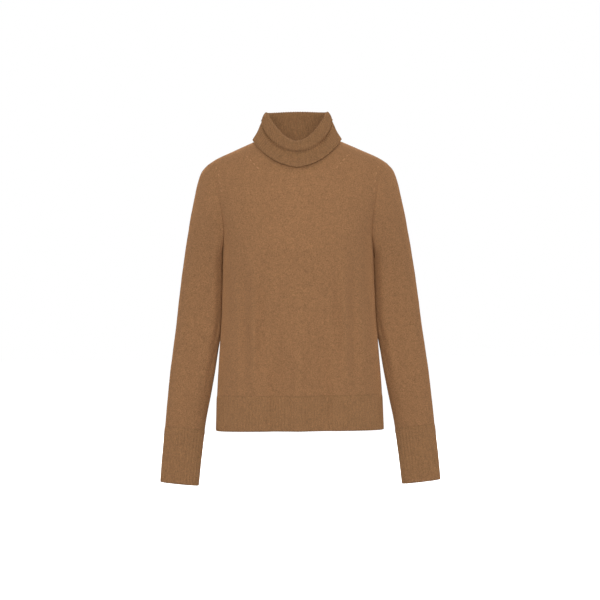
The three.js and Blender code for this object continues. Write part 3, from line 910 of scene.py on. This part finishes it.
def mark_matrix(side, x, z, sizes):
    """Turns a ball of radius 1 into a mark that lies on the cloth and leans to the middle."""
    point, normal = upper_surface(side, x, z)
    lean = Vector((math.copysign(MARK_LEAN, -x), 0, -1))
    along = (lean - normal * lean.dot(normal)).normalized()
    turn = Matrix((along, normal.cross(along), normal)).transposed().to_4x4()
    size = Matrix.Diagonal((sizes.mark_length / 2, sizes.mark_width / 2, sizes.mark_height, 1))
    return Matrix.Translation(point * MM) @ turn @ size


class SWEATER_OT_marks(bpy.types.Operator):
    """Set the fashioning marks beside the armholes and the neck"""
    bl_idname = "sweater.marks"
    bl_label = "Fashioning Marks"

    def execute(self, context):
        settings = context.scene.sweater
        bm = bmesh.new()
        for side in (FRONT, BACK):
            for x, z in mark_places():
                for hand in (-1, 1):
                    matrix = mark_matrix(side, hand * x, z, settings.sizes)
                    bmesh.ops.create_icosphere(bm, subdivisions=2, radius=1, matrix=matrix)
        uv = bm.loops.layers.uv.new("UVMap")
        for face in bm.faces:
            face.smooth = True
            for loop in face.loops:
                loop[uv].uv = (loop.vert.co.x, loop.vert.co.z)
        piece = placed("fashioning_marks", bm, mark_stitches_painted_highlight(settings))
        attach(piece, "root")
        return {"FINISHED"}


# Ribs

# How flat ribs and the furrows between them are (1 is a plain wave)
RIB_FLATNESS = 1.5
# How far a bound edge of rib turns in, in its first two rows
BOUND_EDGE = (-0.8, -0.2)
# Rows over which the ribs flatten out below the jersey
RIB_FADE = 1.5
# How deep the side seams lie in the hem
HEM_SIDE_SEAM = 0.4


def rib_height(phase):
    """Height of the ribbing, from 0 to 1; each whole phase is the middle of a rib."""
    wave = RIB_FLATNESS * math.cos(2 * math.pi * phase)
    return 0.5 + 0.5 * min(max(wave, -1), 1)


def edge_share(rows_from_edge):
    return BOUND_EDGE[rows_from_edge] if rows_from_edge < len(BOUND_EDGE) else 0


def rib_levels(edge_row, count):
    """Shares of a rib's height from its bound edge, where one row is narrow."""
    return [0] + [edge_row + (1 - edge_row) * j / count for j in range(count + 1)]


def knitted_width(settings):
    """Width of a rib with its furrow in the UV map, in millimetres."""
    return settings.sizes.wale_width / MM * WALES_PER_RIB


def hem_rib(name, side, node, settings):
    """The ribbed strip at the foot of one panel."""
    columns = HEM_RIBS * STEPS_PER_RIB
    middle_z = (HEM_Z + HEM_RIB_TOP_Z) / 2
    steps = even_steps(lambda t: lower_point(side, 2 * t - 1, middle_z), columns)
    rows = []
    for level in rib_levels(HEM_EDGE_ROW, HEM_ROWS):
        row = []
        for t in steps:
            across = 2 * t - 1
            bottom = hem_z(side, across)
            row.append(lower_point(side, across, bottom + (HEM_RIB_TOP_Z - bottom) * level))
        rows.append(row)
    normals = grid_normals(rows, False, -side)
    raised = settings.sizes.rib_raise / MM
    last_i, last_j = columns, len(rows) - 1

    def relief(i, j):
        fade = min((last_j - j) / RIB_FADE, 1)
        seam = seam_share(min(i, last_i - i)) * HEM_SIDE_SEAM
        return raised * rib_height(i / STEPS_PER_RIB + 0.5) * fade + edge_share(j) + seam

    laid = pushed(rows, normals, relief)
    piece = cloth(name, laid, normals, settings.sizes.rib_thickness, rib(settings),
                  ribs=HEM_RIBS, rib_width=knitted_width(settings), loose=(0,))
    declare(piece, node)


class SWEATER_OT_hem(bpy.types.Operator):
    """Knit the ribbed hem, front and back"""
    bl_idname = "sweater.hem"
    bl_label = "Hem Rib"

    def execute(self, context):
        hem_rib("front_hem", FRONT, "hem_rib_front", context.scene.sweater)
        hem_rib("back_hem", BACK, "hem_rib_back", context.scene.sweater)
        return {"FINISHED"}


# Sleeves and cuffs

# How deep the underarm seam lies, as a share of the armhole's
UNDERARM_SEAM = 0.6


def sleeve_columns():
    """Side, share of the way up the armhole and angle, from the underarm seam and back to it."""
    ups = [(j / SLEEVE_SIDE_STEPS) ** ARMPIT_CROWDING for j in range(SLEEVE_SIDE_STEPS + 1)]
    columns = []
    for side, shares in ((FRONT, ups), (BACK, ups[-2::-1])):
        for up in shares:
            angle = math.acos(min(max(2 * rise_at(up * QUARTER) - 1, -1), 1))
            columns.append((side, up, angle if side == FRONT else 2 * math.pi - angle))
    return columns


def sleeve(name, mirror, node, settings):
    """One sleeve; mirror lays the one at -X."""
    columns = sleeve_columns()
    first = SLEEVE.at(0)
    armhole = [upper_point(side, 1, up * QUARTER) for side, up, _ in columns]
    gaps = [hole - ring_point(first, angle) for hole, (_, _, angle) in zip(armhole, columns)]
    count = CUFF_FIRST_RING * ROWS_PER_RING
    rings = [CUFF_FIRST_RING * (1 - j / count) for j in range(count)] + list(ARMHOLE_RINGS)
    rows = []
    for ring in rings:
        row = SLEEVE.at(ring)
        rows.append([ring_point(row, angle) + gap * row["fit"]
                     for gap, (_, _, angle) in zip(gaps, columns)])
    normals = grid_normals(rows, True, 1)
    last_i, last_j = len(columns) - 1, len(rows) - 1
    depth = settings.sizes.seam_depth / MM

    def relief(i, j):
        underarm = seam_share(min(i, last_i - i)) * UNDERARM_SEAM
        seam = depth * min(seam_share(last_j - j), underarm)
        fold = sleeve_fold(rings[j], columns[i][2])
        return seam + fold + slack(rows[j][i]) * ease(i, j, last_i, last_j)

    laid = pushed(rows, normals, relief)
    if mirror:
        laid, normals = mirrored(laid), mirrored(normals)
    piece = cloth(name, laid, normals, settings.sizes.jersey_thickness, jersey(settings), tube=True)
    declare(piece, node)


class SWEATER_OT_sleeves(bpy.types.Operator):
    """Lay both sleeves in plain jersey, from the cuff to the armhole"""
    bl_idname = "sweater.sleeves"
    bl_label = "Sleeves"

    def execute(self, context):
        sleeve("left_sleeve", False, "sleeve_left", context.scene.sweater)
        sleeve("right_sleeve", True, "sleeve_right", context.scene.sweater)
        return {"FINISHED"}


def cuff(name, mirror, node, settings):
    """One ribbed cuff; mirror lays the one at -X."""
    columns = CUFF_RIBS * STEPS_PER_RIB
    middle = SLEEVE.at((CUFF_FIRST_RING + CUFF_LAST_RING) / 2)
    steps = even_steps(lambda t: ring_point(middle, math.pi * (1 - 2 * t)), columns)
    angles = [math.pi * (1 - 2 * t) for t in steps]
    rings = CUFF_LAST_RING - CUFF_FIRST_RING
    rows = []
    for level in rib_levels(CUFF_EDGE_ROW, CUFF_ROWS):
        row = SLEEVE.at(CUFF_LAST_RING - rings * level)
        rows.append([ring_point(row, angle) for angle in angles])
    normals = grid_normals(rows, True, 1)
    raised = settings.sizes.rib_raise / MM
    last_j = len(rows) - 1

    def relief(i, j):
        fade = min((last_j - j) / RIB_FADE, 1)
        return raised * rib_height(i / STEPS_PER_RIB + 0.5) * fade + edge_share(j)

    laid = pushed(rows, normals, relief)
    if mirror:
        laid, normals = mirrored(laid), mirrored(normals)
    piece = cloth(name, laid, normals, settings.sizes.rib_thickness, rib(settings),
                  tube=True, ribs=CUFF_RIBS, rib_width=knitted_width(settings), loose=(0,))
    declare(piece, node)


class SWEATER_OT_cuffs(bpy.types.Operator):
    """Knit both ribbed cuffs"""
    bl_idname = "sweater.cuffs"
    bl_label = "Cuffs"

    def execute(self, context):
        cuff("left_cuff", False, "cuff_left", context.scene.sweater)
        cuff("right_cuff", True, "cuff_right", context.scene.sweater)
        return {"FINISHED"}


# Collar

# Rows over which the ribs rise from the neck seam
COLLAR_RIB_RISE = 3


def collar_profile(angle, wall):
    """The cloth's middle at an angle, as points from the neck seam to the loose edge."""
    points = [collar_loop_point(loop, angle) for loop in COLLAR]
    reach = NECK_REACH[FRONT if math.cos(angle) > 0 else BACK]
    shrink = 1 - wall / 2 / NECK_HALF_WIDTH
    points[0] = Vector((
        NECK_HALF_WIDTH * shrink * math.sin(angle),
        -reach * shrink * math.cos(angle),
        neck_seam_z(angle) - NECK_LAP,
    ))
    return points


class SWEATER_OT_collar(bpy.types.Operator):
    """Knit the ribbed turtleneck and fold it over"""
    bl_idname = "sweater.collar"
    bl_label = "Turtleneck"

    def execute(self, context):
        settings = context.scene.sweater
        wall = settings.sizes.rib_thickness / MM
        columns = COLLAR_RIBS * COLLAR_STEPS_PER_RIB
        band = COLLAR[BAND_LOOP]
        steps = even_steps(
            lambda t: collar_loop_point(band, math.pi * (2 * t - 1)), columns)
        profiles = [collar_profile(math.pi * (2 * t - 1), wall) for t in steps]
        count = (len(COLLAR) - 1) * ROWS_PER_LOOP
        levels = [j / count for j in range(count)] + [1 - COLLAR_EDGE_ROW / count, 1]
        rows = [[through(points, level) for points in profiles] for level in levels]
        normals = grid_normals(rows, True, -1)
        raised = settings.sizes.rib_raise / MM
        last_j = len(rows) - 1

        def relief(i, j):
            rise = min(j / COLLAR_RIB_RISE, 1)
            ribbed = raised * rib_height(i / COLLAR_STEPS_PER_RIB + 0.5) * rise
            return wall / 2 + ribbed + edge_share(last_j - j)

        laid = pushed(rows, normals, relief)
        piece = cloth("turtleneck", laid, normals, settings.sizes.rib_thickness,
                      collar_rib_painted_shade(settings), tube=True, ribs=COLLAR_RIBS,
                      rib_width=knitted_width(settings), loose=(last_j,))
        declare(piece, "collar")
        return {"FINISHED"}


# Stage

WHITE = (1, 1, 1, 1)
# Camera: focal length and film width in millimetres, place in metres and roll in degrees
CAMERA_LENS = 117.07
CAMERA_FILM = 36
CAMERA_ASIDE = 0.0028
CAMERA_HEIGHT = -0.31365
CAMERA_ROLL = -0.55
# Soft lamps, all facing the middle: place and width in metres, and share of the power
MIDDLE = Vector((0, 0, -0.3))
LAMPS = (
    ("over_front", (0, -2.6, 2.8), 3.0, 0.38),
    ("over_back", (0.2, 2.8, 2.6), 3.0, 0.8),
    ("back", (0, 3.8, 0.3), 2.4, 0.8),
    ("left_front", (0.5, -3.8, 0.2), 1.4, 0.9),
    ("right_front", (-0.5, -3.8, 0.2), 1.4, 0.9),
    ("left_side", (3.3, -1.0, 0.1), 2.4, 0.34),
    ("right_side", (-3.3, -1.0, 0.1), 2.4, 0.34),
)
# A faint light inside the body that reaches the inside of the collar
NECK_LIGHT_PLACE = (0, -0.015, -0.03)
NECK_LIGHT_RADIUS = 0.03
NECK_LIGHT_POWER = 0.035
# Brightness of the surround, level with the sweater and overhead
SURROUND_LEVELS = (0.55, 1.35)
FLOOR_ROUGHNESS = 0.9
FLOOR_GLOW = 0.62


def place_camera(distance):
    data = bpy.data.cameras.new("camera")
    data.sensor_width = CAMERA_FILM
    data.lens = CAMERA_LENS
    camera = bpy.data.objects.new("camera", data)
    roll = Matrix.Rotation(math.radians(CAMERA_ROLL), 4, "Z")
    level = Matrix.Rotation(QUARTER, 4, "X") @ roll
    camera.matrix_world = Matrix.Translation((CAMERA_ASIDE, -distance, CAMERA_HEIGHT)) @ level
    bpy.context.collection.objects.link(camera)
    bpy.context.scene.camera = camera


def set_surround(strength):
    """A world that the camera sees as white, and that lights more from above."""
    surround = bpy.data.worlds.new("surround")
    surround.use_nodes = True
    tree = surround.node_tree
    seen = tree.nodes["Background"]
    seen.inputs["Color"].default_value = WHITE
    lighting = tree.nodes.new("ShaderNodeBackground")
    lighting.inputs["Strength"].default_value = strength
    ramp = tree.nodes.new("ShaderNodeValToRGB")
    for stop, level in zip(ramp.color_ramp.elements, SURROUND_LEVELS):
        stop.color = (level, level, level, 1)
    coordinates = tree.nodes.new("ShaderNodeTexCoord")
    parts = tree.nodes.new("ShaderNodeSeparateXYZ")
    rays = tree.nodes.new("ShaderNodeLightPath")
    either = tree.nodes.new("ShaderNodeMixShader")
    for output, socket in (
        (coordinates.outputs["Generated"], parts.inputs[0]),
        (parts.outputs["Z"], ramp.inputs[0]),
        (ramp.outputs[0], lighting.inputs["Color"]),
        (rays.outputs["Is Camera Ray"], either.inputs[0]),
        (lighting.outputs[0], either.inputs[1]),
        (seen.outputs[0], either.inputs[2]),
        (either.outputs[0], tree.nodes["World Output"].inputs["Surface"]),
    ):
        tree.links.new(output, socket)
    bpy.context.scene.world = surround


def new_light(name, kind, place, power):
    data = bpy.data.lights.new(name, kind)
    data.energy = power
    light = bpy.data.objects.new(name, data)
    light.location = place
    bpy.context.collection.objects.link(light)
    return light


def soft_lamp(name, place, width, power):
    light = new_light(name, "AREA", place, power)
    light.data.shape = "DISK"
    light.data.size = width
    light.rotation_euler = (MIDDLE - Vector(place)).to_track_quat("-Z", "Y").to_euler()


def neck_light():
    light = new_light("neck_fill", "POINT", NECK_LIGHT_PLACE, NECK_LIGHT_POWER)
    light.data.shadow_soft_size = NECK_LIGHT_RADIUS
    light.visible_camera = False


def lay_floor(stage, colour):
    """A pale floor that glows a little and neither shades nor lights the sweater."""
    bm = bmesh.new()
    bmesh.ops.create_grid(bm, x_segments=1, y_segments=1, size=stage.floor_size)
    bmesh.ops.translate(bm, verts=bm.verts, vec=(0, 0, stage.floor_level))
    finish = Finish("pale_floor")
    finish.put(finish.shader.inputs["Base Color"], shade(colour, 1))
    finish.put(finish.shader.inputs["Roughness"], FLOOR_ROUGHNESS)
    finish.put(finish.shader.inputs["Emission Color"], WHITE)
    finish.put(finish.shader.inputs["Emission Strength"], FLOOR_GLOW)
    floor = placed("floor", bm, finish.material)
    floor.visible_diffuse = False
    floor.visible_shadow = False


class SWEATER_OT_stage(bpy.types.Operator):
    """Set the camera, the soft light and the pale floor"""
    bl_idname = "sweater.stage"
    bl_label = "Stage"

    def execute(self, context):
        settings = context.scene.sweater
        stage = settings.stage
        context.scene.view_settings.view_transform = "Standard"
        place_camera(stage.camera_distance)
        set_surround(stage.surround)
        for name, place, width, share in LAMPS:
            soft_lamp(name, place, width, stage.key_power * share)
        neck_light()
        lay_floor(stage, settings.colours.floor)
        return {"FINISHED"}


# Add-on

PIECE_OPERATORS = (
    SWEATER_OT_stage,
    SWEATER_OT_body,
    SWEATER_OT_marks,
    SWEATER_OT_hem,
    SWEATER_OT_sleeves,
    SWEATER_OT_cuffs,
    SWEATER_OT_collar,
)


class VIEW3D_PT_sweater(bpy.types.Panel):
    """Sizes, colours and pieces of the sweater"""
    bl_idname = "VIEW3D_PT_sweater"
    bl_label = "Turtleneck Sweater"
    bl_space_type = "VIEW_3D"
    bl_region_type = "UI"
    bl_category = "Sweater"

    def draw(self, context):
        settings = context.scene.sweater
        for group in (settings.sizes, settings.colours, settings.stage):
            box = self.layout.box()
            for name in group.__annotations__:
                box.prop(group, name)
        for operator in PIECE_OPERATORS:
            self.layout.operator(operator.bl_idname)


CLASSES = (
    SweaterSizes, SweaterColours, StageSizes, SweaterSettings, *PIECE_OPERATORS, VIEW3D_PT_sweater,
)


def register():
    for each in CLASSES:
        bpy.utils.register_class(each)
    bpy.types.Scene.sweater = PointerProperty(type=SweaterSettings)


def unregister():
    del bpy.types.Scene.sweater
    for each in reversed(CLASSES):
        bpy.utils.unregister_class(each)


def main():
    register()
    for operator in PIECE_OPERATORS:
        group, name = operator.bl_idname.split(".")
        getattr(getattr(bpy.ops, group), name)()


if __name__ == "__main__":
    main()
